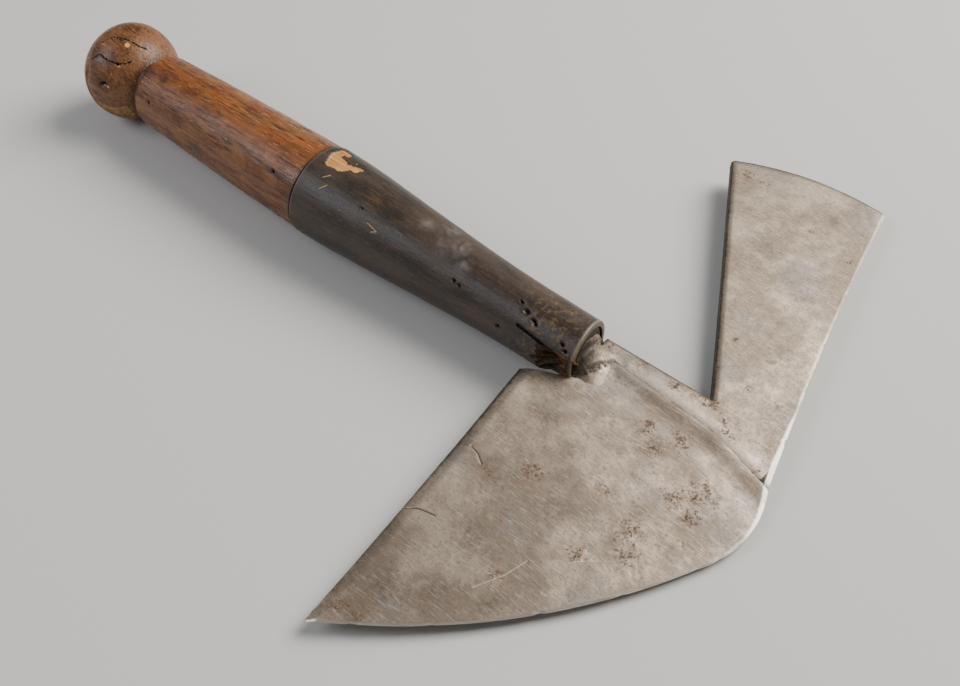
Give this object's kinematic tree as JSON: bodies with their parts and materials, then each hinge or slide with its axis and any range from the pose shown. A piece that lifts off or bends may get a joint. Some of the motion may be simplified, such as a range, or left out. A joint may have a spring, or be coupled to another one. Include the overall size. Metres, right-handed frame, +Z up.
{
  "type": "hand sickle",
  "caption": "Forged two-winged hand sickle: a broad chopping blade and a narrow back-swept wing on a tang, with a turned wooden handle ending in a ball pommel.",
  "frame": {"origin": "middle of the footprint, on the flat surface that the tool lies on", "axes": "+X along the handle from the ball pommel to the blade, +Y towards the narrow wing, +Z up"},
  "size_m": [0.3379, 0.2749, 0.0404],
  "materials": {
    "forged_iron": "old hand-forged iron, grey-brown patina, fine pitting and light rust",
    "main_iron": "old hand-forged iron, grey-brown patina, fine pitting and light rust",
    "edge_steel": "ground steel, brighter than the iron, with small nicks",
    "dark_iron": "blackened wrought iron, worn bright on its rim",
    "black_grip": "blackened hardwood, satin where the hand has rubbed it, chipped to raw wood",
    "red_brown_wood": "old oiled hardwood, red-brown, open grain, satin"
  },
  "bodies": {
    "root": {"wing_and_tang": "forged_iron", "main_blade": "main_iron", "wing_edge_steel": "edge_steel", "main_edge_steel": "edge_steel", "grip_washer": "dark_iron", "front_grip": "black_grip", "rear_handle": "red_brown_wood"}
  },
  "joints": []
}
